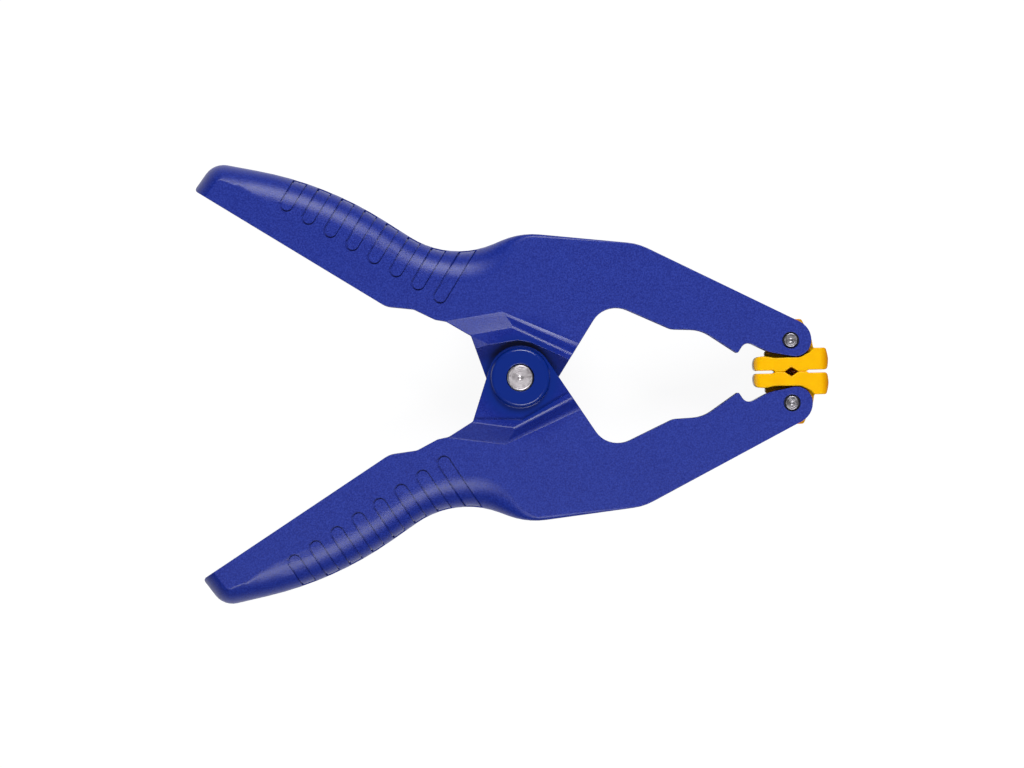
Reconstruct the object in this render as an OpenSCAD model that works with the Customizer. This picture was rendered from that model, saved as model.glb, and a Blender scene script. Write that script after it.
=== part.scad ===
// One-handed spring clamp: two moulded arms crossed on a pivot pin, a torsion spring that closes
// the jaws, and a swivelling pad on its own pin at each jaw tip.
// It lies on its side: the pivot axis is +Z, the jaws point along +X, and it rests on z = 0.
// All the outlines are those of the upper arm, on the +Y side. The lower arm is the same, turned over.

/* [Arm] */
// Width of an arm across its two side faces
arm_w = 25; // [22:0.5:30]
// Distance from the pivot to the pad pins
jaw_reach = 75.5; // [72:0.5:90]
// Distance from the pivot back to the handle tips
handle_reach = 89.7; // [86:0.5:110]
// Height of the inner corner of a handle tip over the centre line
handle_spread = 54.2; // [50:0.5:58]
// Depth of a handle near its tip
handle_d = 9.5; // [8.5:0.1:12]
// Height of the back of the body over the centre line
body_h = 40.4; // [39:0.2:44]
// Height of the throat's crown over the centre line
throat_h = 20.9; // [19.5:0.1:22]
// Thickness of the side walls
wall_t = 3.2; // [2.8:0.1:3.6]
// Thickness of the outer spine
spine_t = 3.6; // [3:0.1:4.2]
// Thickness of the ribs in the channel
rib_t = 2; // [1.4:0.1:3]
// Distance between the cross ribs
rib_pitch = 13; // [10:0.5:16]
// Depth of the ribs' inner edges under the arm's inner edge
rib_back = 2.5; // [1.5:0.1:4]
// Width of the rounding along the back of the handle, seen from the side
grip_w = 9; // [7.5:0.1:10]
// Depth of that rounding across the arm
grip_d = 7; // [6:0.1:7.8]
// Width of the rounding at the handle tip, seen from the side
tip_w = 3.6; // [3:0.1:4.5]
// Rounding of the edge along the back of the body
rim_w = 1.2; // [0.6:0.1:1.6]

/* [Pivot] */
// Radius of the round ends of the ears
ear_r = 9; // [8.7:0.1:9.6]
// Thickness of an inner ear
inner_ear_t = 3.2; // [2.6:0.1:3.6]
// Thickness of an outer ear
outer_ear_t = 3.5; // [3:0.1:4]
// Height of the outer ear over the arm's side face
ear_step = 1.1; // [0.6:0.1:1.6]
// Height of the raised shoulder over the arm's side face
shoulder_step = 2.5; // [2:0.1:2.8]
// Height of the boss over the arm's side face
boss_step = 3; // [2.9:0.1:4]
// Radius of the boss
boss_r = 8.3; // [7.4:0.1:8.6]
// Rounding of the boss's rim
boss_round = 1; // [0.3:0.1:1.2]
// Diameter of the pivot pin
pivot_d = 7; // [5.5:0.1:7.6]
// Radius of the hub that carries the spring
hub_r = 4.95; // [4.7:0.05:5]
// Gap between faces that slide over each other
slide_gap = 0.15; // [0.1:0.01:0.3]

/* [Pads] */
// Height of the pad pins over the clamping plane
pad_rise = 8.7; // [8.5:0.1:9.2]
// Diameter of the pad pins
pad_pin_d = 4; // [3:0.1:4.4]
// Radius of the fork's round end
fork_r = 5.75; // [5.5:0.05:6.2]
// Distance of a pad's sides in from the arm's side faces
pad_set = 0.5; // [0.2:0.1:2]
// Gap between a pad and the fork over it
pad_gap = 0.25; // [0.2:0.05:0.6]
// Length of a pad from its pin to the inner end
pad_in = 10.7; // [9.5:0.1:10.9]
// Length of a pad from its pin to the outer end
pad_out = 10.4; // [9.6:0.1:11.5]
// Height of the hook at the outer end of a pad
hook_h = 6.45; // [5.5:0.1:7]
// Rounding of the pad's ends, seen from the clamped face
pad_end_r = 2.4; // [1:0.1:4]
// Width of the V notch across a pad
vee_w = 3.9; // [2:0.1:5]
// Depth of the V notch
vee_h = 1.3; // [0.6:0.1:1.8]
// Thickness of the web that closes the V notch half-way through
vee_web = 4; // [2:0.5:8]
// Depth of the relief beside the contact strips
relief = 0.35; // [0.1:0.05:0.6]
// Width of the tongue between the fork's walls
tongue_w = 12; // [9:0.5:13]
// Gap left between the two pads when the jaws are shut
shut_gap = 0.1; // [0.05:0.01:0.3]

/* [Spring] */
// Diameter of the spring's wire
wire_d = 2.6; // [2:0.1:2.6]
// Diameter of the coil, between wire centres
coil_d = 13.4; // [13.2:0.1:13.6]
// Gap between one turn's wire and the next
turn_gap = 0.45; // [0.43:0.01:0.5]
// Gap between a leg's end and the arm's spine
leg_gap = 1; // [0.8:0.1:3]
// Direction of the upper leg
leg_angle = 135; // [132:1:140]

/* [Fits] */
// Radial clearance of a pin that turns in its bore
turn_fit = 0.05; // [0.02:0.01:0.1]
// Radial clearance of a pin that sits fast in its bore
fast_fit = 0.02; // [0.01:0.01:0.05]
// Gap between the tongue's side and the fork's wall
tongue_gap = 0.3; // [0.15:0.05:0.5]
// Widening of a bore at its mouth
mouth = 0.35; // [0.1:0.01:0.4]
// Depth of the widened mouth of a bore
mouth_depth = 0.8; // [0.4:0.1:1.2]
// Least gap between the coil and the ears beside it
coil_gap = 0.4; // [0.3:0.05:0.6]

/* [Hidden] */

arm_blue = [0.176, 0.235, 0.592];
pad_yellow = [0.984, 0.745, 0.031];
pin_steel = [0.64, 0.62, 0.66];
spring_steel = [0.42, 0.42, 0.44];

// Levels along the pivot axis, from the middle of the clamp
face_z = arm_w / 2;
wall_z = face_z - wall_t;
shoulder_z = face_z + shoulder_step;
ear_z = face_z + ear_step;
boss_z = face_z + boss_step;
ear_under_z = ear_z - outer_ear_t;
inner_ear_z = ear_under_z - slide_gap;
coil_room_z = inner_ear_z - inner_ear_t;
relief_r = 15;

// Width of a pad, and its thickness under the fork, which reaches 4.6 below the pin
fork_under = 4.6;
pad_w = arm_w - 2 * pad_set;
pad_t = pad_rise - fork_under - pad_gap;

// Directions in the outline
handle_slope = 32.5;
pin = [jaw_reach, pad_rise + shut_gap / 2];
tip = [-handle_reach, handle_spread];

// Smoothness of the round stretches
chord_tol = 0.03;
past = 4;

// ---------- outlines ----------

function unit(v) = v / norm(v);
function left_of(v) = [-v[1], v[0]];
function cross_z(a, b) = a[0] * b[1] - a[1] * b[0];
function along(angle) = [cos(angle), sin(angle)];

// Where the line from p along u meets the line from q along v
function meet(p, u, q, v) = p + u * cross_z(q - p, v) / cross_z(u, v);

// Where a line from p touches the circle of radius r round c
function touch(p, c, r, side) =
  c + r * along(atan2(p[1] - c[1], p[0] - c[0]) + side * acos(r / norm(p - c)));

// Steps that keep an arc's chords within the tolerance
function arc_steps(r, sweep) = max(2, ceil(sweep / (2 * acos(1 - chord_tol / max(r, 4 * chord_tol)))));

// The points of a corner of radius r at b, between a and c
function corner_arc(a, b, c, r) =
  let (
    u = unit(a - b),
    v = unit(c - b),
    half = acos(u * v) / 2,
    centre = b + unit(u + v) * r / sin(half),
    from = b + u * r / tan(half) - centre,
    sweep = 180 - 2 * half,
    turn = cross_z(u, v) < 0 ? 1 : -1,
    n = arc_steps(r, sweep)
  )
  [
    for (i = [0:n])
      let (t = turn * sweep * i / n)
      centre + [from[0] * cos(t) - from[1] * sin(t), from[0] * sin(t) + from[1] * cos(t)]
  ];

// A closed outline from corners written as [x, y, radius]
function xy(c) = [c[0], c[1]];
function after(cs, i) = cs[(i + 1) % len(cs)];
function before(cs, i) = cs[(i + len(cs) - 1) % len(cs)];
function turned_corner(cs, i) =
  cs[i][2] > 0 ? corner_arc(xy(before(cs, i)), xy(cs[i]), xy(after(cs, i)), cs[i][2]) : [xy(cs[i])];
function rounded(cs) = [for (i = [0:len(cs) - 1], p = turned_corner(cs, i)) p];

// The same corners with each radius limited by the edges that its rounding shares with its neighbours
function fitted(cs) =
  let (
    n = len(cs),
    edge = [for (i = [0:n - 1]) xy(after(cs, i)) - xy(cs[i])],
    used = [
      for (i = [0:n - 1])
        let (half = acos(unit(-before(edge, i)) * unit(edge[i])) / 2)
        cs[i][2] / tan(half)
    ],
    room = [for (i = [0:n - 1]) norm(edge[i]) / max(norm(edge[i]), used[i] + after(used, i))]
  )
  [for (i = [0:n - 1]) [cs[i][0], cs[i][1], cs[i][2] * min(before(room, i), room[i])]];

// The same corners with edge i, which runs from corner i to the next, moved inwards by ds[i]
function inset(cs, ds) = [
  for (i = [0:len(cs) - 1])
    let (
      a = xy(before(cs, i)),
      b = xy(cs[i]),
      c = xy(after(cs, i)),
      u = unit(b - a),
      v = unit(c - b),
      p = meet(a + left_of(u) * before(ds, i), u, b + left_of(v) * ds[i], v),
      bend = cross_z(u, v) > 0 ? -1 : 1
    )
    [p[0], p[1], max(0.4, cs[i][2] + bend * max(before(ds, i), ds[i]))]
];

// Inner edge, from the waist round to the handle tip
waist = [-13.5, 11.9];
tip_back = 5.66;
inner_corners = [
  [waist[0], waist[1], 0.6],
  [-20.4, 16.1, 2],
  [-23.5, 16.7, 2],
  [-29.4, 19.7, 2.5],
  [-37, tip[1] - (handle_reach - 37) * tan(handle_slope), 6],
  [tip[0], tip[1], 1]
];

// Outer edge, from the handle tip to the jaw
handle_top = tip + [tip_back, handle_d / cos(handle_slope) - tip_back * tan(handle_slope)];
outer_corners = [
  [handle_top[0], handle_top[1], 6],
  [-handle_reach + 36.7, handle_top[1] - 6.5, 100],
  [-18.9, body_h - 7.8, 25],
  [0.8, body_h, 22],
  [jaw_reach - 41.9, body_h - 3.8, 16]
];

// Fork and throat, from the nose back to the pivot
nose_x = pin[0] + fork_r;
elbow = xy(outer_corners[4]);
nose_touch = touch(elbow, pin, fork_r, -1);
crown = [24.2, throat_h];
fork_corners = [
  concat(meet(elbow, nose_touch - elbow, [nose_x, 0], [0, 1]), [fork_r]),
  [nose_x, pin[1] - 5.5, 4.5],
  [pin[0] - 6.3, pin[1] - 3.15, 8],
  [pin[0] - 12.66, pin[1] + 0.05, 2.3],
  [pin[0] - 14.9, pin[1] - 3.4, 0.5],
  [pin[0] - 24.8, 12.1, 10],
  [jaw_reach - 33.2, 12.5, 4],
  [crown[0], crown[1], 7.5]
];

// The ear's end lies round the pivot and touches the waist edge and the throat edge
pivot = [0, 0];
ear_corner = meet(
  waist, touch(waist, pivot, ear_r, 1) - waist,
  crown, touch(crown, pivot, ear_r, -1) - crown
);

// The corners run clockwise, so they are turned round to run anticlockwise
clockwise = concat(
  [concat(ear_corner, [ear_r])],
  inner_corners,
  outer_corners,
  fork_corners
);
arm_corners = fitted([for (i = [len(clockwise) - 1:-1:0]) clockwise[i]]);
n_outer = len(outer_corners);
n_all = len(arm_corners);

// The back of the channel follows the arm's back, and its other edges lie clear of the arm
far = 10 * arm_w;
back_from = len(fork_corners) - 1;
back_to = back_from + n_outer;
channel_corners = fitted(inset(
  concat(
    [[nose_x, -far, 0]],
    [for (i = [back_from:back_to]) arm_corners[i]],
    [concat(tip + 2 * (tip - handle_top), [0]), [-handle_reach, -far, 0]]
  ),
  concat([0], [for (i = [0:n_outer]) spine_t], [0, 0])
));

// The ribs run into the spine and stand back from the arm's inner edge
rib_corners = inset(
  arm_corners, [for (i = [0:n_all - 1]) i >= back_from && i <= back_to ? 0 : rib_back]
);

// ---------- arm ----------

module slab(points, low, high) {
  translate([0, 0, low]) linear_extrude(high - low) polygon(points);
}

// Path of the rounded edge: over the tip's end, round its corner, and along the back past the elbow
function reverse(list) = [for (i = [len(list) - 1:-1:0]) list[i]];
function back_arc(i) =
  reverse(corner_arc(xy(arm_corners[i - 1]), xy(arm_corners[i]), xy(arm_corners[i + 1]), arm_corners[i][2]));
function at_end(list) = list[len(list) - 1];
tip_way = unit(handle_top - tip);
back_way = unit(xy(outer_corners[1]) - handle_top);
tip_arc = back_arc(back_to);
back_path = concat(
  [for (i = [back_to - 1:-1:back_from + 1], q = back_arc(i)) q],
  [xy(arm_corners[back_from]) * 0.4 + xy(arm_corners[back_from + 1]) * 0.6]
);
straight_parts = 4;
straight_path = [for (k = [1:straight_parts - 1]) mix(at_end(tip_arc), back_path[0], k / straight_parts)];
edge_path = concat([tip - 2 * past * tip_way], tip_arc, straight_path, back_path);

// Width of the rounding along the back: wide on the handle, fading to the body's rim and to a fine edge
fade_from = -13;
fade_to = 5;
rim_end = elbow[0];
fine_rim = 0.3;
function ease(t) = t < 0 ? 0 : (t > 1 ? 1 : t * t * (3 - 2 * t));
function mix(a, b, t) = a + (b - a) * t;
function round_w(x) =
  mix(
    mix(grip_w, rim_w, ease((x - fade_from) / (fade_to - fade_from))),
    fine_rim,
    ease((x - fade_to) / (rim_end - fade_to))
  );

// Width, depth and first slope of the rounding at each point of the path.
// The corner's rounding ends short of the corner's centre, and widens to the handle's behind it.
tip_slope = 35;
turn_slope = 28;
turn_w = arm_corners[back_to][2] - 1.4;
widen_over = 14;
edge_form = concat(
  [[tip_w, grip_d, tip_slope]],
  [
    for (i = [0:len(tip_arc) - 1])
      let (t = i / (len(tip_arc) - 1))
      [mix(tip_w, turn_w, t), grip_d, mix(tip_slope, turn_slope, t)]
  ],
  [
    for (p = concat(straight_path, back_path))
      let (t = ease(norm(p - at_end(tip_arc)) / widen_over), w = round_w(p[0]))
      [mix(turn_w, w, t), w * grip_d / grip_w, mix(turn_slope, 0, t)]
  ]
);

// One section of the waste outside a rounding w wide and d deep, which leaves the side face at a slope.
// It runs over the face, round the arc in a fixed number of steps, and out past the edge.
edge_steps = 8;
function waste_section(p, out, w, d, slope) =
  let (
    arc = [
      for (i = [0:edge_steps])
        let (t = mix(slope, 90, i / edge_steps))
        [-w * (1 - sin(t)) / (1 - sin(slope)), face_z - d * (1 - cos(t) / cos(slope))]
    ]
  )
  [
    for (q = concat([[arc[0][0], face_z + past]], arc, [[past, face_z - d], [past, face_z + past]]))
      [p[0] + out[0] * q[0], p[1] + out[1] * q[0], q[1]]
  ];

function path_side(path, i) =
  let (a = path[max(i - 1, 0)], b = path[min(i + 1, len(path) - 1)])
  left_of(unit(b - a));

// A closed skin over rings of points, with a flat end on the first and last ring
module skin(rings) {
  n = len(rings[0]);
  last = len(rings) - 1;
  sides = [
    for (i = [0:last - 1], j = [0:n - 1])
      let (k = (j + 1) % n)
      for (f = [[i * n + j, (i + 1) * n + k, i * n + k], [i * n + j, (i + 1) * n + j, (i + 1) * n + k]]) f
  ];
  ends = [[for (j = [0:n - 1]) j], [for (j = [n - 1:-1:0]) last * n + j]];
  polyhedron([for (ring = rings) for (p = ring) p], concat(sides, ends));
}

module edge_waste() {
  skin([
    for (i = [0:len(edge_path) - 1])
      let (f = edge_form[i])
      waste_section(edge_path[i], path_side(edge_path, i), f[0], f[1], f[2])
  ]);
}

// Solid length of the jaw, from the channel to the pin
jaw_solid = 12;

// Cross ribs, square to the handle and to the jaw
module bar(at, angle) {
  translate([at[0], at[1], 0])
    rotate([0, 0, angle])
      cube([rib_t, 2 * arm_w, 2 * wall_z + 1], center = true);
}

body_room = 34;
module cross_ribs() {
  jaw_way = elbow - pin;
  for (s = [rib_pitch:rib_pitch:handle_reach - body_room])
    bar(tip + s * along(-handle_slope), -handle_slope);
  for (s = [jaw_solid + rib_pitch / 2:rib_pitch:norm(jaw_way)])
    bar(pin + s * unit(jaw_way), atan2(jaw_way[1], jaw_way[0]));
}

// The channel is open on the inside of the arm, with a middle rib and cross ribs in it
module channel() {
  difference() {
    intersection() {
      slab(rounded(channel_corners), -wall_z, wall_z);
      translate([pin[0] - jaw_solid - far, -arm_w, -arm_w]) cube([far, far, 2 * arm_w]);
    }
    difference() {
      intersection() {
        slab([for (c = rib_corners) xy(c)], -wall_z - 1, wall_z + 1);
        union() {
          cube([2 * far, 2 * far, rib_t], center = true);
          cross_ribs();
        }
      }
      cylinder(r = relief_r + 2, h = 2 * arm_w, center = true, $fn = 64);
    }
  }
}

// Raised shoulder over the ears: a gentle ramp towards the handle and a steeper one towards the jaw
ramp_foot = [[24, 4.5], [-4.6, 18.5], [-24, 15.6]];
ramp_top = [[24, 1.6], [-1.4, 14], [-24, 10.5]];
shoulder_low = [[-24, -12], [24, -12]];

module shoulder() {
  hull() {
    slab(concat(ramp_foot, shoulder_low), face_z - 1, face_z);
    slab(concat(ramp_top, shoulder_low), shoulder_z - 0.01, shoulder_z);
  }
}

// Edge where the shoulder drops to the inner ear
drop_line = [[-12.2, 8.2], [-8.8, 9.2], [-0.5, 10.4], [3.1, 9.7], [13.5, 4.6]];
drop_edge = concat([[-40, 8.4]], drop_line, [[40, -8.4], [40, -40], [-40, -40]]);
// Edge where the shoulder steps to the outer ear
step_edge = [[-40, 5.4], [-13.5, 11.3], [0.3, 11.7], [10.9, 5.8], [40, -10.4], [40, -40], [-40, -40]];

module boss() {
  rotate_extrude($fn = 96)
    polygon(concat(
      [[0, ear_under_z], [boss_r, ear_under_z]],
      [
        for (i = [0:6])
          let (a = 15 * i)
          [boss_r - boss_round * (1 - cos(a)), boss_z - boss_round * (1 - sin(a))]
      ],
      [[0, boss_z]]
    ));
}

// Small slope that takes the corner off the shoulder beside the waist
lip_from = [-13.2, 12.05];
lip_to = [-8.2, 9.3];
lip_slope = 15;
lip_room = 6;
module lip_waste() {
  way = lip_to - lip_from;
  translate([lip_from[0], lip_from[1], shoulder_z])
    rotate([0, 0, atan2(way[1], way[0])])
      rotate([lip_slope, 0, 0])
        translate([-lip_room, -lip_room, 0]) cube([2 * lip_room + 1, lip_room, lip_room]);
}

// A bore along the pivot axis
module bored(r, low, high) {
  translate([0, 0, low]) cylinder(r = r, h = high - low, $fn = 64);
}

module arm() {
  pivot_bore = pivot_d / 2;
  difference() {
    union() {
      difference() {
        union() {
          slab(rounded(arm_corners), -face_z, face_z);
          intersection() {
            slab(rounded(arm_corners), face_z - 0.5, shoulder_z + 1);
            shoulder();
          }
          intersection() {
            slab(rounded(arm_corners), -shoulder_z - 1, 0.5 - face_z);
            difference() {
              mirror([0, 0, 1]) shoulder();
              slab(step_edge, -shoulder_z - 1, -ear_z);
            }
          }
        }
        edge_waste();
        mirror([0, 0, 1]) edge_waste();
        channel();
        slab(drop_edge, inner_ear_z, shoulder_z + 2);
        slab(drop_edge, -ear_under_z, inner_ear_z + 1);
        lip_waste();
        cylinder(r = relief_r, h = 2 * ear_under_z, center = true, $fn = 96);
        fork_slot();
      }
      inner_ear();
      mirror([0, 0, 1]) boss();
    }
    bored(pivot_bore + turn_fit, -boss_z - 1, boss_z + 1);
    bored(pivot_bore + mouth, -boss_z - 1, mouth_depth - boss_z);
    pad_pin_bore();
  }
}

// The inner ear stands in from the shoulder and carries half of the spring's hub
module inner_ear() {
  intersection() {
    slab(rounded(arm_corners), 0, shoulder_z);
    union() {
      slab(concat(shoulder_low, ramp_foot), coil_room_z, inner_ear_z);
      slab(concat([[-24, 10]], drop_line, [[24, 0]], ramp_foot), coil_room_z, face_z);
    }
  }
  translate([0, 0, slide_gap / 2]) cylinder(r = hub_r, h = coil_room_z, $fn = 64);
}

// Slot that makes the jaw's end a fork
slot_in = 9.6;
module fork_slot() {
  slot_w = tongue_w + 2 * tongue_gap;
  translate([pin[0] - slot_in, -arm_w, -slot_w / 2]) cube([4 * fork_r, 3 * arm_w, slot_w]);
}

module pad_pin_bore() {
  translate([pin[0], pin[1], 0]) {
    bored(pad_pin_d / 2 + fast_fit, -face_z - 1, face_z + 1);
    for (side = [-1, 1])
      translate([0, 0, side * face_z])
        cylinder(r = pad_pin_d / 2 + mouth, h = 2 * mouth_depth, center = true, $fn = 48);
  }
}

// ---------- pads, pins and spring ----------

// Outline of a pad, from the clamping plane up, with x = 0 under its pin
strip_in = 4.6;
strip_out = 4.3;
pad_outline = rounded(fitted([
  [-strip_in, 0, 0],
  [-vee_w / 2, 0, 0],
  [0, vee_h, 0],
  [vee_w / 2, 0, 0],
  [strip_out, 0, 0],
  [strip_out + relief, relief, 0],
  [pad_out - 0.45, relief, 0.8],
  [pad_out, 3.4, 6],
  [pad_out - 0.75, hook_h, 0.7],
  [6.3, hook_h, 0.5],
  [5.2, pad_t + 1.45, 1.5],
  [2.6, pad_t + 0.1, 2.5],
  [-4.6, pad_t, 4],
  [-7.6, pad_t + 0.55, 1.2],
  [-pad_in + 0.5, pad_t + 0.25, 1.4],
  [-pad_in, 2, 3],
  [-pad_in + 0.3, relief, 0.8],
  [-strip_in - relief, relief, 0]
]));

// Outline of the tongue, from the plate up and round the pin
tongue_round = fork_r + 0.2;
tongue_low = pad_t - 1.45;
tongue_peak = [0.55, 1.02] * fork_r;
tongue_outline = rounded(fitted([
  [-7, tongue_low, 0],
  [6.4, tongue_low, 0],
  [6.4, hook_h - 0.3, 0.4],
  [tongue_round, pad_rise, 1],
  [tongue_peak[0], pad_rise + tongue_peak[1], 0.8],
  [-tongue_peak[0], pad_rise + tongue_peak[1], 0.8],
  [-tongue_round, pad_rise, 1],
  [-6.6, pad_t + 1.95, 1],
  [-7.4, pad_t + 1.75, 0.6]
]));

module pad() {
  difference() {
    union() {
      intersection() {
        slab(pad_outline, -pad_w / 2, pad_w / 2);
        rotate([90, 0, 0])
          slab(
            rounded([
              [-pad_in - 0.1, -pad_w / 2, pad_end_r],
              [pad_out + 0.1, -pad_w / 2, pad_end_r],
              [pad_out + 0.1, pad_w / 2, pad_end_r],
              [-pad_in - 0.1, pad_w / 2, pad_end_r]
            ]),
            -2 * pad_rise,
            pad_rise
          );
      }
      slab(tongue_outline, -tongue_w / 2, tongue_w / 2);
      slab([[-vee_w / 2, 0], [vee_w / 2, 0], [0, vee_h + 0.1]], -vee_web / 2, vee_web / 2);
    }
    translate([0, pad_rise, 0]) bored(pad_pin_d / 2 + turn_fit, -face_z, face_z);
  }
}

module pin_rod(d, length) {
  chamfer = 0.25;
  rotate_extrude($fn = 64)
    polygon([
      [0, -length / 2], [d / 2 - chamfer, -length / 2], [d / 2, chamfer - length / 2],
      [d / 2, length / 2 - chamfer], [d / 2 - chamfer, length / 2], [0, length / 2]
    ]);
}

// Centre line of the spring: in along the upper leg, round the coil and out along the lower leg
coil_r = coil_d / 2;
coil_pitch = wire_d + turn_gap;
coil_turns = floor((2 * (coil_room_z - coil_gap) - wire_d) / coil_pitch - 0.25);
coil_rise = coil_pitch * (coil_turns + 0.25);
leave_at = leg_angle - 90;
turn_rings = 24;
coil_rings = turn_rings * (coil_turns + 0.25);
coil_sweep = 360 * coil_turns + 2 * leave_at;
coil_points = [
  for (i = [0:coil_rings])
    let (a = leave_at - coil_sweep * i / coil_rings)
    [coil_r * cos(a), coil_r * sin(a), coil_rise * (0.5 - i / coil_rings)]
];
spine_dir = unit(xy(outer_corners[3]) - xy(outer_corners[2]));
spine_inside = xy(outer_corners[3]) - spine_t * left_of(spine_dir);
leg_reach = meet(coil_r * along(leave_at), along(leg_angle), spine_inside, spine_dir);
leg_end = leg_reach - leg_gap * along(leg_angle);
spring_path = concat(
  [[leg_end[0], leg_end[1], coil_rise / 2]],
  coil_points,
  [[leg_end[0], -leg_end[1], -coil_rise / 2]]
);

// Least gap between the wire of one turn and the wire of the next, measured on the points
turn_gaps = [
  for (i = [0:coil_rings - turn_rings], j = [i + turn_rings / 2:coil_rings])
    norm(coil_points[i] - coil_points[j]) - wire_d
];
echo(least_gap_between_turns = min(turn_gaps));

wire_sides = 6;
function wire_ring(path, i) =
  let (
    a = path[max(i - 1, 0)],
    b = path[min(i + 1, len(path) - 1)],
    t = unit(b - a),
    flat = unit([t[1], -t[0], 0]),
    up = cross(flat, t)
  )
  [
    for (j = [0:wire_sides - 1])
      let (w = -360 * j / wire_sides)
      path[i] + (flat * cos(w) + up * sin(w)) * wire_d / 2
  ];

// ---------- nodes ----------

module standing() {
  translate([0, 0, boss_z]) children();
}

// Turned over about X, which makes an upper piece a lower one
module turned() {
  rotate([180, 0, 0]) children();
}

module upper_arm() {
  color(arm_blue) standing() arm();
}

module lower_arm() {
  color(arm_blue) standing() turned() arm();
}

module pivot_pin() {
  color(pin_steel) standing() pin_rod(pivot_d, 2 * boss_z);
}

module torsion_spring() {
  color(spring_steel) standing() skin([for (i = [0:len(spring_path) - 1]) wire_ring(spring_path, i)]);
}

module upper_pad() {
  color(pad_yellow) standing() translate([pin[0], shut_gap / 2, 0]) pad();
}

module lower_pad() {
  color(pad_yellow) standing() turned() translate([pin[0], shut_gap / 2, 0]) pad();
}

module pad_pin() {
  pin_sink = 0.3;
  translate([pin[0], pin[1], 0]) pin_rod(pad_pin_d, arm_w - 2 * pin_sink);
}

module upper_pad_pin() {
  color(pin_steel) standing() pad_pin();
}

module lower_pad_pin() {
  color(pin_steel) standing() turned() pad_pin();
}

lower_arm();
upper_arm();
pivot_pin();
torsion_spring();
lower_pad();
upper_pad();
lower_pad_pin();
upper_pad_pin();
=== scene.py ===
# Spring clamp: moulded arms with finger pockets, swivelling pads, turned pins and a torsion spring.
from math import cos, pi, radians, sin

import bmesh
import bpy
from mathutils import Matrix, Vector
from mathutils.bvhtree import BVHTree


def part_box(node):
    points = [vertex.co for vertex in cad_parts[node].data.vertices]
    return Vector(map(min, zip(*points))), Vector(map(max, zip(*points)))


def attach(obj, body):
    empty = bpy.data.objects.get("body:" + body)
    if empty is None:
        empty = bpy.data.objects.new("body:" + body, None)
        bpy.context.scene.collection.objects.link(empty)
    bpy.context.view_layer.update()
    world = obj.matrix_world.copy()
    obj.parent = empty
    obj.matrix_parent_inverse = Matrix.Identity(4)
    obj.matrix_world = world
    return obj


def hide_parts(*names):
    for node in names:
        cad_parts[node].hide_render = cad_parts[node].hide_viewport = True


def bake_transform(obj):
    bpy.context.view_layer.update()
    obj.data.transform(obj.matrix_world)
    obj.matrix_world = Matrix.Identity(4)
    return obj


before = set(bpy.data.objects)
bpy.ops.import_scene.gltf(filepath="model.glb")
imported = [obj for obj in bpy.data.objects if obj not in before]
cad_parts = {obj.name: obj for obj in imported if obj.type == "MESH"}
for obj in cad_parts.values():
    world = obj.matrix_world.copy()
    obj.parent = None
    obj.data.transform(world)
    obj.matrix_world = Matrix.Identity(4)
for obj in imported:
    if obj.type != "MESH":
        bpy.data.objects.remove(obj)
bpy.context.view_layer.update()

# Shapes are written in millimetres, materials and the stage in metres
MM = 0.001

# Middle of the clamp, across the pivot
MID_Z = 15.5 * MM


def point(x, y, z=0.0):
    """A point given in millimetres."""
    return Vector((x, y, z)) * MM


# ---------- material nodes ----------

def new_material(name):
    """An empty node material with its output and one Principled shader."""
    mat = bpy.data.materials.new(name)
    mat.use_nodes = True
    tree = mat.node_tree
    shader = next(n for n in tree.nodes if n.type == "BSDF_PRINCIPLED")
    return mat, tree, shader


def add(tree, kind, **settings):
    """A node of a kind; plain names set properties, and names that are sockets set their values."""
    node = tree.nodes.new(kind)
    for key, value in settings.items():
        if hasattr(node, key):
            setattr(node, key, value)
        else:
            node.inputs[key.replace("_", " ")].default_value = value
    return node


def calculate(tree, operation, *values):
    """The result of a sum on values, which may be numbers or sockets."""
    node = add(tree, "ShaderNodeMath", operation=operation)
    for socket, value in zip(node.inputs, values):
        if isinstance(value, float):
            socket.default_value = value
        else:
            tree.links.new(value, socket)
    return node.outputs[0]


def grain(tree, coords, size, detail=2.0, roughness=0.5):
    """Noise whose lumps are about the given size across."""
    node = add(tree, "ShaderNodeTexNoise", Scale=1.0 / size, Detail=detail, Roughness=roughness)
    tree.links.new(coords, node.inputs["Vector"])
    return node.outputs["Fac"]


def ramp(tree, value, low, high, out_low=0.0, out_high=1.0):
    """A value remapped from one range to another."""
    node = add(tree, "ShaderNodeMapRange")
    for name, number in (("From Min", low), ("From Max", high), ("To Min", out_low), ("To Max", out_high)):
        node.inputs[name].default_value = number
    tree.links.new(value, node.inputs["Value"])
    return node.outputs["Result"]


# Span that noise mostly keeps to
NOISE_SPAN = (0.3, 0.7)


def spread(tree, noise, out_low=0.0, out_high=1.0):
    """Noise stretched over a whole range."""
    return ramp(tree, noise, *NOISE_SPAN, out_low, out_high)


def blend_colours(tree, factor, first, second):
    """A colour between two, which may be colours or sockets."""
    node = add(tree, "ShaderNodeMix", data_type="RGBA")
    tree.links.new(factor, node.inputs[0])
    for socket, colour in ((node.inputs[6], first), (node.inputs[7], second)):
        if isinstance(colour, tuple):
            socket.default_value = (*colour, 1.0)
        else:
            tree.links.new(colour, socket)
    return node.outputs[2]


def bump(tree, shader, height, depth, strength):
    """Relief of the given depth on the shader's normal, over any relief already there."""
    node = add(tree, "ShaderNodeBump", Strength=strength, Distance=depth)
    tree.links.new(height, node.inputs["Height"])
    normal = shader.inputs["Normal"]
    if normal.is_linked:
        tree.links.new(normal.links[0].from_socket, node.inputs["Normal"])
    tree.links.new(node.outputs["Normal"], normal)


def linear(r, g, b):
    """A colour written in 0 to 255 as a screen shows it, in the shader's linear values."""
    return tuple(((c / 255 + 0.055) / 1.055) ** 2.4 if c > 10 else c / 255 / 12.92 for c in (r, g, b))


def object_coords(tree):
    return add(tree, "ShaderNodeTexCoord").outputs["Object"]


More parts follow.
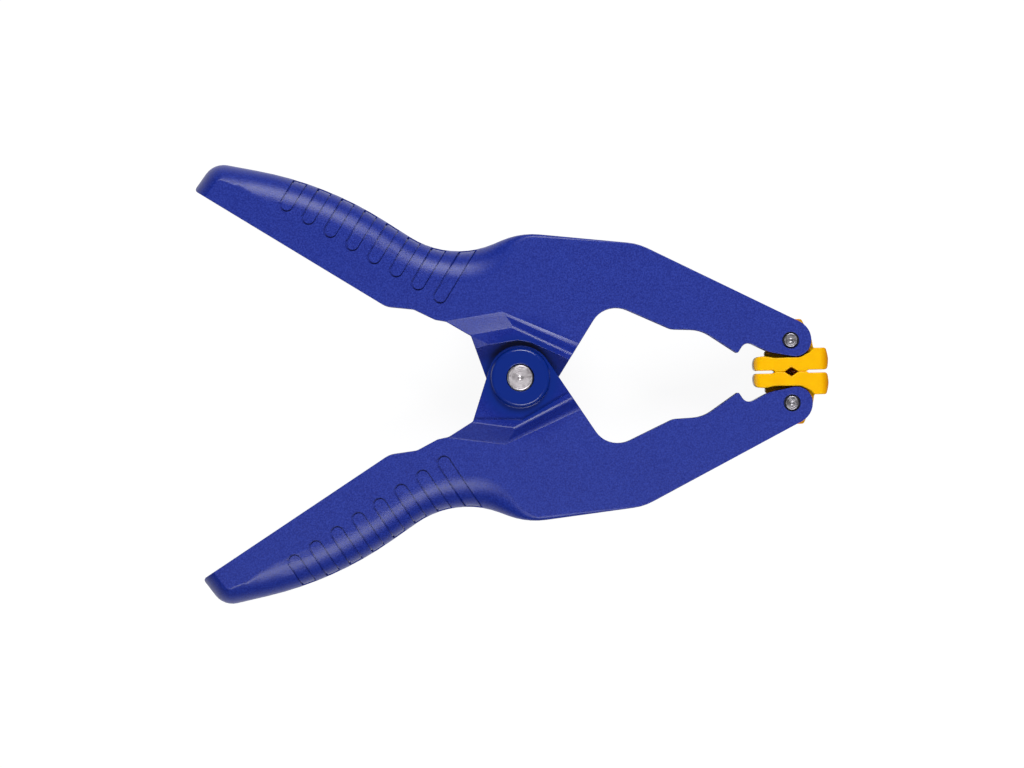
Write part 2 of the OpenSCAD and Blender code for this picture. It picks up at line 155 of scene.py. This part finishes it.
def axis_distance(tree, coords, x, y):
    """Distance from an upright axis through (x, y), in metres."""
    move = add(tree, "ShaderNodeMapping")
    move.inputs["Location"].default_value = (-x, -y, 0.0)
    move.inputs["Scale"].default_value = (1.0, 1.0, 0.0)
    tree.links.new(coords, move.inputs["Vector"])
    length = add(tree, "ShaderNodeVectorMath", operation="LENGTH")
    tree.links.new(move.outputs["Vector"], length.inputs[0])
    return length.outputs["Value"]


# ---------- materials ----------

BODY_BLUES = (linear(0, 27, 129), linear(0, 31, 134))
GRAIN_BLUE = linear(28, 53, 161)
SHADED_BLUES = (linear(0, 26, 126), linear(14, 41, 147))
FACE_BLUE = linear(2, 38, 130)
# Painted shade for the deep gaps round the pins
BORE_SHADE_BLUE = linear(4, 10, 46)

# Radii round the pivot: the smooth face ends, its grain is full, the shade by the ears begins and ends
FACE_RADIUS = 0.0095
GRAIN_RADIUS = 0.0130
SHADE_RADIUS = 0.0125
BODY_RADIUS = 0.0190

GRAIN_SIZE = 0.00045
GRAIN_SPECKS = (0.40, 0.64)
CLOUD_SIZE = 0.006
ARM_RELIEF = 0.00006
ARM_ROUGHNESS = (0.34, 0.42)
FACE_ROUGHNESS = 0.2
FACE_RELIEF_SHARE = 0.12

# Place and radius in millimetres of each widened bore mouth, where painted shade darkens the resin beside
# the pin
BORE_MOUTHS = ((0.0, 0.0, 3.86), (75.5, 8.75, 2.38), (75.5, -8.75, 2.38))
MOUTH_BLUR = 0.06


def arm_resin():
    """Blue glass-filled resin with a spark-eroded grain that fades out to a smooth face round the pivot,
    with painted shade by the ears and in the bore mouths.
    """
    mat, tree, shader = new_material("arm_resin")
    coords = object_coords(tree)
    distance = axis_distance(tree, coords, 0.0, 0.0)
    around = ramp(tree, distance, FACE_RADIUS, GRAIN_RADIUS)
    outward = ramp(tree, distance, SHADE_RADIUS, BODY_RADIUS)
    fine = grain(tree, coords, GRAIN_SIZE, detail=3.0, roughness=0.7)
    speckle = ramp(tree, fine, *GRAIN_SPECKS)
    body = blend_colours(tree, spread(tree, grain(tree, coords, CLOUD_SIZE)), *BODY_BLUES)
    grained = blend_colours(tree, speckle, body, GRAIN_BLUE)
    shaded = blend_colours(tree, speckle, *SHADED_BLUES)
    colour = blend_colours(tree, around, FACE_BLUE, blend_colours(tree, outward, shaded, grained))
    # Painted shade: the resin turns dark blue in the gap round each pin
    for x, y, mouth in BORE_MOUTHS:
        edge = ramp(tree, axis_distance(tree, coords, x * MM, y * MM), mouth * MM, (mouth - MOUTH_BLUR) * MM)
        colour = blend_colours(tree, edge, colour, BORE_SHADE_BLUE)
    tree.links.new(colour, shader.inputs["Base Color"])
    rough = add(tree, "ShaderNodeMix", data_type="FLOAT")
    tree.links.new(ramp(tree, distance, FACE_RADIUS, BODY_RADIUS), rough.inputs[0])
    rough.inputs[2].default_value = FACE_ROUGHNESS
    tree.links.new(spread(tree, fine, *ARM_ROUGHNESS), rough.inputs[3])
    tree.links.new(rough.outputs[0], shader.inputs["Roughness"])
    shader.inputs["Specular IOR Level"].default_value = 0.42
    height = calculate(tree, "MULTIPLY", fine, ramp(tree, around, 0.0, 1.0, FACE_RELIEF_SHARE, 1.0))
    bump(tree, shader, height, ARM_RELIEF, 0.55)
    return mat


PAD_YELLOWS = (linear(251, 186, 0), linear(255, 193, 1))
PAD_FRONT_SHADE = linear(214, 136, 2)
PAD_BACK_REFLECTION = linear(238, 176, 70)
PAD_TONGUE_SHADE = linear(232, 122, 4)

# Where the pads' painted shade begins along X at their front ends and their painted reflection at their back
# ends, and where the painted shade of the tongue rises outward and runs along X
FRONT_SHADE_SPAN = (0.0836, 0.0856)
BACK_REFLECTION_SPAN = (0.0662, 0.0648)
TONGUE_RISE = (0.0052, 0.0075)
TONGUE_SPAN = (0.0790, 0.0770)

PAD_CLOUD_SIZE = 0.004
SATIN_SIZE = 0.0003
PAD_ROUGHNESS = (0.28, 0.36)
PAD_RELIEF = 0.00002


def pad_resin():
    """Yellow resin with a satin face; painted shade deepens the tongue under the fork to orange and darkens
    the front ends, and a painted reflection pales the back ends.
    """
    mat, tree, shader = new_material("pad_resin")
    coords = object_coords(tree)
    fine = grain(tree, coords, SATIN_SIZE)
    split = add(tree, "ShaderNodeSeparateXYZ")
    tree.links.new(coords, split.inputs[0])
    x, y = split.outputs["X"], split.outputs["Y"]
    colour = blend_colours(tree, spread(tree, grain(tree, coords, PAD_CLOUD_SIZE)), *PAD_YELLOWS)
    # Painted shade: the front ends turn darker orange where they round away from the light
    colour = blend_colours(tree, ramp(tree, x, *FRONT_SHADE_SPAN), colour, PAD_FRONT_SHADE)
    # Painted reflection: the back ends turn pale where they round off and catch the white round them
    colour = blend_colours(tree, ramp(tree, x, *BACK_REFLECTION_SPAN), colour, PAD_BACK_REFLECTION)
    # Painted shade: the tongue under the fork turns deeper orange
    outward = ramp(tree, calculate(tree, "ABSOLUTE", y), *TONGUE_RISE)
    tongue_shade = calculate(tree, "MULTIPLY", outward, ramp(tree, x, *TONGUE_SPAN))
    colour = blend_colours(tree, tongue_shade, colour, PAD_TONGUE_SHADE)
    tree.links.new(colour, shader.inputs["Base Color"])
    tree.links.new(spread(tree, fine, *PAD_ROUGHNESS), shader.inputs["Roughness"])
    shader.inputs["Specular IOR Level"].default_value = 0.1
    shader.inputs["Subsurface Weight"].default_value = 0.15
    shader.inputs["Subsurface Radius"].default_value = (1.0, 0.45, 0.05)
    shader.inputs["Subsurface Scale"].default_value = 0.0012
    bump(tree, shader, fine, PAD_RELIEF, 0.4)
    return mat


STEEL_ROUGHNESS = (0.30, 0.42)
STEEL_GRAIN_SIZE = 0.0003
STEEL_RELIEF = 0.00001
FACING_PITCH = 0.0005
FACING_RELIEF = 0.00002
TURNED_PATCH_SIZE = 0.0009
DRAWN_PATCH_SIZE = 0.002

PIVOT_GREYS = ((0.52, 0.48, 0.51), (0.72, 0.68, 0.71))
PAD_PIN_GREYS = ((0.16, 0.15, 0.17), (0.42, 0.41, 0.44))
SPRING_GREYS = ((0.13, 0.13, 0.14), (0.26, 0.255, 0.26))


def turned_steel(name, x, y, greys):
    """Steel whose end is faced in a lathe, with rings about its own axis."""
    mat, tree, shader = new_material(name)
    coords = object_coords(tree)
    turns = calculate(tree, "MULTIPLY", axis_distance(tree, coords, x, y), 2 * pi / FACING_PITCH)
    rings = calculate(tree, "SINE", turns)
    patch = grain(tree, coords, TURNED_PATCH_SIZE, detail=3.0)
    tree.links.new(blend_colours(tree, spread(tree, patch), *greys), shader.inputs["Base Color"])
    shader.inputs["Metallic"].default_value = 1.0
    tree.links.new(spread(tree, patch, *STEEL_ROUGHNESS), shader.inputs["Roughness"])
    bump(tree, shader, ramp(tree, rings, -1.0, 1.0), FACING_RELIEF, 0.8)
    bump(tree, shader, grain(tree, coords, STEEL_GRAIN_SIZE), STEEL_RELIEF, 0.3)
    return mat


def spring_steel():
    """Dark drawn spring wire with an oiled sheen."""
    mat, tree, shader = new_material("spring_steel")
    coords = object_coords(tree)
    patch = spread(tree, grain(tree, coords, DRAWN_PATCH_SIZE, detail=3.0))
    tree.links.new(blend_colours(tree, patch, *SPRING_GREYS), shader.inputs["Base Color"])
    shader.inputs["Metallic"].default_value = 1.0
    tree.links.new(ramp(tree, patch, 0.0, 1.0, *STEEL_ROUGHNESS), shader.inputs["Roughness"])
    bump(tree, shader, grain(tree, coords, STEEL_GRAIN_SIZE), STEEL_RELIEF, 0.4)
    return mat


# ---------- shaping ----------

# Points nearer to each other than this become one, and faces narrower than the next are dropped
WELD = 0.002 * MM
SLIVER = 0.005 * MM

# Faces that differ by less than this are one flat face
FLAT_ANGLE = radians(0.5)


def merged_copy(node):
    """The CAD node's shape as joined faces, with its flat faces in one piece."""
    bm = bmesh.new()
    bm.from_mesh(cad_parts[node].data)
    bmesh.ops.remove_doubles(bm, verts=bm.verts, dist=WELD)
    bmesh.ops.dissolve_limit(bm, angle_limit=FLAT_ANGLE, verts=bm.verts, edges=bm.edges)
    bmesh.ops.dissolve_degenerate(bm, dist=SLIVER, edges=bm.edges)
    return bm


def to_mesh(bm, name):
    mesh = bpy.data.meshes.new(name)
    bm.to_mesh(mesh)
    bm.free()
    return mesh


def boolean(body, tool, operation):
    """The result of one solid on another, as a new mesh."""
    first = bpy.data.objects.new("first", body)
    second = bpy.data.objects.new("second", tool)
    for obj in (first, second):
        bpy.context.scene.collection.objects.link(obj)
    step = first.modifiers.new("step", "BOOLEAN")
    step.operation = operation
    step.solver = "EXACT"
    step.object = second
    bpy.context.view_layer.update()
    seen = first.evaluated_get(bpy.context.evaluated_depsgraph_get())
    result = bpy.data.meshes.new_from_object(seen)
    for obj in (first, second):
        bpy.data.objects.remove(obj)
    return result


def soften(bm, edges, width, segments):
    """A radius of a width in millimetres along some edges."""
    bmesh.ops.bevel(
        bm, geom=edges, offset=width * MM, offset_type="OFFSET", affect="EDGES", segments=segments,
        profile=0.5, material=-1, clamp_overlap=False,
    )


def smooth_by_angle(bm, degrees):
    for face in bm.faces:
        face.smooth = True
    for edge in bm.edges:
        edge.smooth = len(edge.link_faces) == 2 and edge.calc_face_angle(pi) < radians(degrees)


def flat_faces(piece):
    """Shading that stays even over broad faces and turns only over the small ones beside them."""
    step = piece.modifiers.new("flat_faces", "WEIGHTED_NORMAL")
    step.keep_sharp = True


def make_piece(name, mesh, material, node):
    """A finished piece in place of the CAD node it stands for."""
    piece = bpy.data.objects.new(name, mesh)
    bpy.context.scene.collection.objects.link(piece)
    mesh.materials.clear()
    mesh.materials.append(material)
    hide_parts(node)
    return piece


# ---------- arms ----------

HALF_WIDTH = 12.5

# The row of finger pockets: round ends at the inner edge, running outward along the direction
POCKETS = 8
POCKET_FIRST = (-63.98, 49.66)
POCKET_LAST = (-21.81, 23.13)
POCKET_RADIUS = 2.05
POCKET_DEPTH = 0.4
POCKET_RUN = 26.0
POCKET_DIRECTION = radians(57.5)
POCKET_SIDES = 28
SPINE_HALF = 2.0
BLOCK_LEVEL = HALF_WIDTH + 2.0

# The deeper crease round each pocket, left beside a bed that is a little smaller and set aside
CREASE_DEPTH = 0.9
CREASE_ROOM = 0.1
BED_RADIUS = 1.62
CREASE_SHIFT = (0.08, 0.1)

# The stretch of the handle that is cut out to work on
GRIP_ROOM = 4.5
GRIP_BLOCK = 160.0

# Directions count as one, or a face as level, when their product is over these
PARALLEL = 0.999
LEVEL_FACE = 0.98

# Distance outside the skin from which a ray looks for more of the arm
RAY_START = 0.05


def pocket_axes(side):
    """Directions outward along the pockets and across them, on one arm."""
    out = Vector((cos(POCKET_DIRECTION), side * sin(POCKET_DIRECTION), 0.0))
    right = Vector((sin(POCKET_DIRECTION), -side * cos(POCKET_DIRECTION), 0.0))
    return out, right


def pocket_blocks(side, radius, along=0.0, across=0.0):
    """Round-ended blocks over the finger pockets, on both faces of the handle, moved by some millimetres."""
    bm = bmesh.new()
    out, right = pocket_axes(side)
    for i in range(POCKETS):
        t = i / (POCKETS - 1)
        x = POCKET_FIRST[0] + t * (POCKET_LAST[0] - POCKET_FIRST[0])
        y = side * (POCKET_FIRST[1] + t * (POCKET_LAST[1] - POCKET_FIRST[1]))
        for face in (-1, 1):
            block = []
            for reach in (0.0, POCKET_RUN):
                for level in (SPINE_HALF, BLOCK_LEVEL):
                    centre = point(x, y) + (out * (reach + along) + right * across) * MM
                    centre.z = MID_Z + face * level * MM
                    ring = bmesh.ops.create_circle(
                        bm, segments=POCKET_SIDES, radius=radius * MM, matrix=Matrix.Translation(centre)
                    )
                    block += ring["verts"]
            bmesh.ops.convex_hull(bm, input=block)
    bmesh.ops.delete(bm, geom=[e for e in bm.edges if not e.link_faces], context="EDGES")
    bmesh.ops.recalc_face_normals(bm, faces=bm.faces)
    return to_mesh(bm, "blocks")


def grip_of(whole, side):
    """The part of an arm with the finger pockets, cut off a little outside the first and the last."""
    right = pocket_axes(side)[1]
    first = point(POCKET_FIRST[0], side * POCKET_FIRST[1])
    last = point(POCKET_LAST[0], side * POCKET_LAST[1])
    length = (last - first).dot(right) + 2 * GRIP_ROOM * MM
    turn = Matrix.Rotation(-side * (pi / 2 - POCKET_DIRECTION), 4, "Z")
    size = Matrix.Diagonal((length, GRIP_BLOCK * MM, GRIP_BLOCK * MM, 1.0))
    bm = bmesh.new()
    bmesh.ops.create_cube(bm, size=1.0, matrix=Matrix.Translation((first + last) / 2) @ turn @ size)
    return boolean(whole, to_mesh(bm, "block"), "INTERSECT")


def sunk(grip, whole, side, depth):
    """A copy of the grip with its outer skin moved in by a depth, and its channel as it is."""
    right = pocket_axes(side)[1]
    skin = bmesh.new()
    skin.from_mesh(whole)
    tree = BVHTree.FromBMesh(skin)
    bm = bmesh.new()
    bm.from_mesh(grip)
    moves = []
    for vert in bm.verts:
        faces = [face for face in vert.link_faces if abs(face.normal.dot(right)) < PARALLEL]
        if any(abs(face.normal.z) > LEVEL_FACE for face in faces):
            normal = Vector((0.0, 0.0, 1.0 if vert.co.z > MID_Z else -1.0))
        else:
            normal = sum((face.normal * face.calc_area() for face in faces), Vector()).normalized()
        if tree.ray_cast(vert.co + normal * RAY_START * MM, normal)[0] is None:
            moves.append((vert, normal * depth * MM))
    for vert, move in moves:
        vert.co -= move
    skin.free()
    return to_mesh(bm, "sunk")


def outside_only(cutter):
    """A cutter without its islands in the channel, which the handle's own walls part from the rest."""
    bm = bmesh.new()
    bm.from_mesh(cutter)
    left = set(bm.verts)
    inside = []
    while left:
        island = [left.pop()]
        for vert in island:
            near = {v for edge in vert.link_edges for v in edge.verts if v in left}
            left -= near
            island += near
        if max(abs(v.co.z - MID_Z) for v in island) < HALF_WIDTH * MM:
            inside += island
    bmesh.ops.delete(bm, geom=inside, context="VERTS")
    return to_mesh(bm, "cutter")


def pocket_cutter(whole, side):
    """What the finger pockets take off an arm: a shallow bed, and a deeper crease round it."""
    grip = grip_of(whole, side)
    around = pocket_blocks(side, POCKET_RADIUS + CREASE_ROOM)
    crease = boolean(around, pocket_blocks(side, BED_RADIUS, *CREASE_SHIFT), "DIFFERENCE")
    crease = outside_only(boolean(crease, sunk(grip, whole, side, CREASE_DEPTH), "DIFFERENCE"))
    bed = boolean(sunk(grip, whole, side, POCKET_DEPTH), crease, "DIFFERENCE")
    return outside_only(boolean(pocket_blocks(side, POCKET_RADIUS), bed, "DIFFERENCE"))


# Foot of the shoulder's jaw-side ramp, where the moulding has a cove; its crest is at the shoulder's level
COVE_LINE = ((-4.6, 18.5), (24.0, 4.5))
COVE_WIDTH = 1.1
CREST_WIDTH = 0.8
SHOULDER_LEVEL = 15.0
LINE_ROOM = 0.05
LEAST_LENGTH = 2

# Every other edge sharper than the angle is rounded, down to a little under the side faces
EDGE_ANGLE = radians(26)
STEEP_ANGLE = radians(75)
EDGE_WIDTH = 0.25
UNDER_FACE = 0.2

# The jaw's outer edge keeps the fine rim of the CAD: it lies past this x and over this sloping line
RIM_X = 25
RIM_SLOPE = 0.3
RIM_Y = 32


def along_line(edge, side, line, level):
    """Whether an edge runs the way of a line drawn on an arm's side face, at a level from the middle."""
    a, b = (point(x, side * y) for x, y in line)
    start, end = (v.co for v in edge.verts)
    if any(abs(abs(co.z - MID_Z) - level * MM) > LINE_ROOM * MM for co in (start, end)):
        return False
    way = (b - a).normalized()
    return (end - start).length > LEAST_LENGTH * MM and abs((end - start).normalized().dot(way)) > PARALLEL


def on_line(edge, side, line, level):
    """Whether an edge lies on that line itself."""
    a, b = (point(x, side * y) for x, y in line)
    way = (b - a).normalized()
    offset = (edge.verts[0].co - a).to_2d().to_3d()
    return along_line(edge, side, line, level) and (offset - way * offset.dot(way)).length < LINE_ROOM * MM


def at_rim(vert):
    return vert.co.x > RIM_X * MM and abs(vert.co.y) + RIM_SLOPE * vert.co.x > RIM_Y * MM


def raised_edges(bm):
    """The sharp edges of the side faces and of what stands up from them, but for the jaw's outer rim."""
    level = (HALF_WIDTH - UNDER_FACE) * MM
    return [
        edge for edge in bm.edges
        if len(edge.link_faces) == 2
        and all(abs(v.co.z - MID_Z) > level and not at_rim(v) for v in edge.verts)
        and edge.calc_face_angle(0.0) > EDGE_ANGLE
    ]


def softened(name, side):
    """The CAD form of an arm with its coves, its crests and its raised edges rounded."""
    bm = merged_copy(name)
    foot = [e for e in bm.edges if on_line(e, side, COVE_LINE, HALF_WIDTH)]
    soften(bm, foot, COVE_WIDTH, 8)
    tops = [e for e in bm.edges if along_line(e, side, COVE_LINE, SHOULDER_LEVEL)]
    crest = [e for e in tops if EDGE_ANGLE < e.calc_face_angle(0.0) < STEEP_ANGLE]
    soften(bm, crest, CREST_WIDTH, 5)
    bmesh.ops.remove_doubles(bm, verts=bm.verts, dist=WELD)
    soften(bm, raised_edges(bm), EDGE_WIDTH, 3)
    bmesh.ops.remove_doubles(bm, verts=bm.verts, dist=WELD)
    bmesh.ops.dissolve_degenerate(bm, dist=SLIVER, edges=bm.edges)
    return to_mesh(bm, name + "_whole")


def arm(name, body, side, material):
    """A moulded arm: the CAD form with softened edges and coves, and its finger pockets sunk in."""
    whole = softened(name, side)
    cut = boolean(whole, pocket_cutter(whole, side), "DIFFERENCE")
    bm = bmesh.new()
    bm.from_mesh(cut)
    bmesh.ops.remove_doubles(bm, verts=bm.verts, dist=WELD)
    bmesh.ops.dissolve_degenerate(bm, dist=WELD, edges=bm.edges)
    smooth_by_angle(bm, 20)
    piece = make_piece(name + "_moulding", to_mesh(bm, name + "_moulding"), material, name)
    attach(piece, body)
    flat_faces(piece)


# ---------- pads ----------

# The gripping faces stand this near the middle, and the visible ones nearer by this share
GRIP_GAP = 0.15
GRIP_CLOSE = 0.04

PAD_EDGE_WIDTH = 0.3
PAD_EDGE_ANGLE = 30


def pad(name, body, material):
    """A swivelling pad with softened edges, its gripping face drawn up to the other pad's."""
    bm = merged_copy(name)
    for vert in bm.verts:
        if abs(vert.co.y) < GRIP_GAP * MM:
            vert.co.y *= GRIP_CLOSE
    smooth_by_angle(bm, PAD_EDGE_ANGLE)
    piece = make_piece(name + "_moulding", to_mesh(bm, name + "_moulding"), material, name)
    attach(piece, body)
    step = piece.modifiers.new("edge_radius", "BEVEL")
    step.width = PAD_EDGE_WIDTH * MM
    step.segments = 3
    step.limit_method = "ANGLE"
    step.angle_limit = radians(PAD_EDGE_ANGLE)
    step.use_clamp_overlap = False
    step.harden_normals = False
    flat_faces(piece)


# ---------- pins ----------

PIN_STEPS = 96

# Radii of the pip's flat and of its foot, depth of the facing rings, and the plain rim outside them
PIP_FLAT = 0.35
PIP_FOOT = 0.5
RING_DEPTH = 0.03
PLAIN_RIM = 0.1
EDGE_STEPS = 4


def faced_end(radius, half, edge, ring_pitch, pip):
    """Half profile of one end of a pin: a pip in the middle, facing rings and a rounded edge."""
    points = [(0.0, half - pip), (PIP_FLAT, half - pip), (PIP_FOOT, half - RING_DEPTH)]
    r = PIP_FOOT + ring_pitch
    while r < radius - edge - PLAIN_RIM:
        points.append((r - ring_pitch / 2, half))
        points.append((r, half - RING_DEPTH))
        r += ring_pitch
    for i in range(EDGE_STEPS + 1):
        a = pi / 2 * (1 - i / EDGE_STEPS)
        points.append((radius - edge + edge * cos(a), half - edge + edge * sin(a)))
    return points


def turned_pin(name, body, material, **sizes):
    """A pin spun from its half profile, with both ends alike."""
    low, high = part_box(name)
    centre = (Vector(low) + Vector(high)) / 2
    end = faced_end(**sizes)
    profile = end + [(r, -z) for r, z in reversed(end)]
    bm = bmesh.new()
    points = [bm.verts.new((r * MM, 0.0, z * MM)) for r, z in profile]
    edges = [bm.edges.new(pair) for pair in zip(points, points[1:])]
    bmesh.ops.spin(
        bm, geom=points + edges, cent=(0, 0, 0), axis=(0, 0, 1), angle=2 * pi, steps=PIN_STEPS,
        use_merge=True, use_duplicate=False, dvec=(0, 0, 0),
    )
    bmesh.ops.remove_doubles(bm, verts=bm.verts, dist=0.001 * MM)
    bmesh.ops.recalc_face_normals(bm, faces=bm.faces)
    bmesh.ops.translate(bm, verts=bm.verts, vec=centre)
    smooth_by_angle(bm, 35)
    piece = make_piece(name + "_turned", to_mesh(bm, name + "_turned"), material, name)
    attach(piece, body)


# ---------- spring ----------

COIL_RADIUS = 6.7
COIL_PITCH = 3.05
COIL_TURNS = 3.25
STEPS_A_TURN = 48
WIRE_RADIUS = 1.3
WIRE_SIDES = 16
LEG_LENGTH = 32.8
LEAVE_AT = radians(45)
TIP_LENGTH = 0.25
TIP_SHARE = 0.8


def edges_of(geom):
    return [e for e in geom if isinstance(e, bmesh.types.BMEdge)]


def verts_of(geom):
    return [v for v in geom if isinstance(v, bmesh.types.BMVert)]


def run_out(bm, rim, angle):
    """A straight leg from a rim of the wire, with a cut end that is a little narrower."""
    leg = bmesh.ops.extrude_edge_only(bm, edges=rim)["geom"]
    vec = Vector((cos(angle), sin(angle), 0)) * LEG_LENGTH * MM
    bmesh.ops.translate(bm, verts=verts_of(leg), vec=vec)
    tip = bmesh.ops.extrude_edge_only(bm, edges=edges_of(leg))["geom"]
    end = verts_of(tip)
    bmesh.ops.translate(bm, verts=end, vec=vec.normalized() * TIP_LENGTH * MM)
    middle = sum((v.co for v in end), Vector()) / len(end)
    bmesh.ops.scale(bm, verts=end, vec=(TIP_SHARE,) * 3, space=Matrix.Translation(-middle))
    bmesh.ops.contextual_create(bm, geom=edges_of(tip))


def wound_spring(material):
    """The torsion spring: one smooth wire, wound and running out along both legs."""
    steps = round(COIL_TURNS * STEPS_A_TURN)
    rise = COIL_PITCH * COIL_TURNS
    bm = bmesh.new()
    start = Matrix.Rotation(LEAVE_AT, 4, "Z") @ Matrix.Translation(point(COIL_RADIUS, 0, rise / 2))
    ring = bmesh.ops.create_circle(
        bm, segments=WIRE_SIDES, radius=WIRE_RADIUS * MM, matrix=start @ Matrix.Rotation(radians(90), 4, "X")
    )
    edges = list({e for v in ring["verts"] for e in v.link_edges})
    spun = bmesh.ops.spin(
        bm, geom=ring["verts"] + edges, cent=(0, 0, 0), axis=(0, 0, 1), dvec=(0, 0, -rise * MM / steps),
        angle=-radians(360 * COIL_TURNS), steps=steps, use_merge=False, use_duplicate=False,
    )
    run_out(bm, edges, pi / 2 + LEAVE_AT)
    run_out(bm, edges_of(spun["geom_last"]), -pi / 2 - LEAVE_AT)
    bmesh.ops.recalc_face_normals(bm, faces=bm.faces)
    bmesh.ops.translate(bm, verts=bm.verts, vec=(0, 0, MID_Z))
    smooth_by_angle(bm, 40)
    mesh = to_mesh(bm, "torsion_spring_wire")
    piece = make_piece("torsion_spring_wire", mesh, material, "torsion_spring")
    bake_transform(piece)


# ---------- stage, light and camera ----------

# Share of white that metal and glass see of the far floor and of the ceiling
FAR_SHARE = 0.1

# The paper's own white near the clamp and far from it, and the glow the camera sees over it
FLOOR_REACH = 3.0
FLOOR_LEVEL = -0.05
NEAR_SPAN = (0.10, 0.30)
NEAR_PAPER = (0.82, 0.82, 0.82)
FAR_PAPER = (0.22, 0.22, 0.22)
GLOW = 1.14
GLOW_SHARE = 0.82

SKY = 0.14
HORIZON = (-0.1, 0.1)

SOFTBOX_SIZE = (0.5, 0.42)
SOFTBOXES = (
    ("softbox_far", (0.12, 0.74, 0.78), 7.6),
    ("softbox_near", (0.10, -0.50, 0.95), 5.6),
)


def seen(tree, fade):
    """One for the camera's own rays, and the fade for what metal and glass show."""
    path = add(tree, "ShaderNodeLightPath")
    both = calculate(tree, "MAXIMUM", path.outputs["Is Glossy Ray"], path.outputs["Is Transmission Ray"])
    faded = calculate(tree, "MULTIPLY", both, fade)
    return calculate(tree, "MAXIMUM", path.outputs["Is Camera Ray"], faded)


def floor():
    """A plain pale floor that reads as white and keeps a light shadow."""
    bm = bmesh.new()
    bmesh.ops.create_grid(bm, x_segments=1, y_segments=1, size=FLOOR_REACH)
    bmesh.ops.translate(bm, verts=bm.verts, vec=(0.0, 0.0, FLOOR_LEVEL * MM))
    obj = bpy.data.objects.new("floor", to_mesh(bm, "floor"))
    bpy.context.scene.collection.objects.link(obj)
    mat, tree, shader = new_material("floor_paper")
    tree.nodes.remove(shader)
    output = next(n for n in tree.nodes if n.type == "OUTPUT_MATERIAL")
    near = ramp(tree, axis_distance(tree, object_coords(tree), 0.0, 0.0), *NEAR_SPAN)
    paper = add(tree, "ShaderNodeBsdfDiffuse")
    tree.links.new(blend_colours(tree, near, NEAR_PAPER, FAR_PAPER), paper.inputs["Color"])
    glow = add(tree, "ShaderNodeEmission", Strength=GLOW)
    share = calculate(tree, "MULTIPLY", seen(tree, ramp(tree, near, 0.0, 1.0, 1.0, FAR_SHARE)), GLOW_SHARE)
    mix = add(tree, "ShaderNodeMixShader")
    tree.links.new(share, mix.inputs[0])
    tree.links.new(paper.outputs[0], mix.inputs[1])
    tree.links.new(glow.outputs[0], mix.inputs[2])
    tree.links.new(mix.outputs[0], output.inputs["Surface"])
    obj.data.materials.append(mat)


def sky():
    """Even light from all round, which the camera sees as white; glossy surfaces show a dim ceiling."""
    world = bpy.data.worlds.new("studio")
    bpy.context.scene.world = world
    world.use_nodes = True
    tree = world.node_tree
    tree.nodes.clear()
    split = add(tree, "ShaderNodeSeparateXYZ")
    tree.links.new(add(tree, "ShaderNodeTexCoord").outputs["Generated"], split.inputs[0])
    fade = ramp(tree, split.outputs["Z"], *HORIZON, 1.0, FAR_SHARE)
    light = add(tree, "ShaderNodeBackground")
    light.inputs["Color"].default_value = (1.0, 1.0, 1.0, 1.0)
    tree.links.new(calculate(tree, "MAXIMUM", seen(tree, fade), SKY), light.inputs["Strength"])
    output = add(tree, "ShaderNodeOutputWorld")
    tree.links.new(light.outputs[0], output.inputs["Surface"])


def softbox(name, place, power):
    """A broad lamp aimed at the clamp."""
    light = bpy.data.lights.new(name, "AREA")
    light.shape = "RECTANGLE"
    light.size, light.size_y = SOFTBOX_SIZE
    light.energy = power
    obj = bpy.data.objects.new(name, light)
    obj.location = place
    obj.rotation_euler = (-Vector(place)).to_track_quat("-Z", "Y").to_euler()
    bpy.context.scene.collection.objects.link(obj)


def camera():
    """Looks straight down on the clamp through a long lens."""
    distance = 4.0
    frame_width = 285.0 * MM
    face_height = 28 * MM
    lens = bpy.data.cameras.new("camera")
    lens.sensor_width = 36.0
    lens.lens = lens.sensor_width * distance / frame_width
    lens.clip_start = 0.05
    lens.clip_end = 20.0
    obj = bpy.data.objects.new("camera", lens)
    obj.location = (-2.36 * MM, -1.7 * MM, face_height + distance)
    obj.rotation_euler = (0.0, 0.0, radians(-1.3))
    bpy.context.scene.collection.objects.link(obj)
    bpy.context.scene.camera = obj


# ---------- assembly ----------

bpy.context.scene.view_settings.view_transform = "Standard"

blue = arm_resin()
yellow = pad_resin()
arm("upper_arm", "upper", 1, blue)
arm("lower_arm", "lower", -1, blue)
pad("upper_pad", "pad_up", yellow)
pad("lower_pad", "pad_down", yellow)

pivot_steel = turned_steel("pivot_steel", 0.0, 0.0, PIVOT_GREYS)
turned_pin("pivot_pin", "lower", pivot_steel, radius=3.5, half=15.5, edge=0.25, ring_pitch=0.6, pip=0.12)
for name, body, y in (("upper_pad_pin", "upper", 8.75), ("lower_pad_pin", "lower", -8.75)):
    steel = turned_steel(name + "_steel", 75.5 * MM, y * MM, PAD_PIN_GREYS)
    turned_pin(name, body, steel, radius=2.0, half=12.2, edge=0.3, ring_pitch=0.55, pip=0.1)
wound_spring(spring_steel())

floor()
sky()
for lamp in SOFTBOXES:
    softbox(*lamp)
camera()
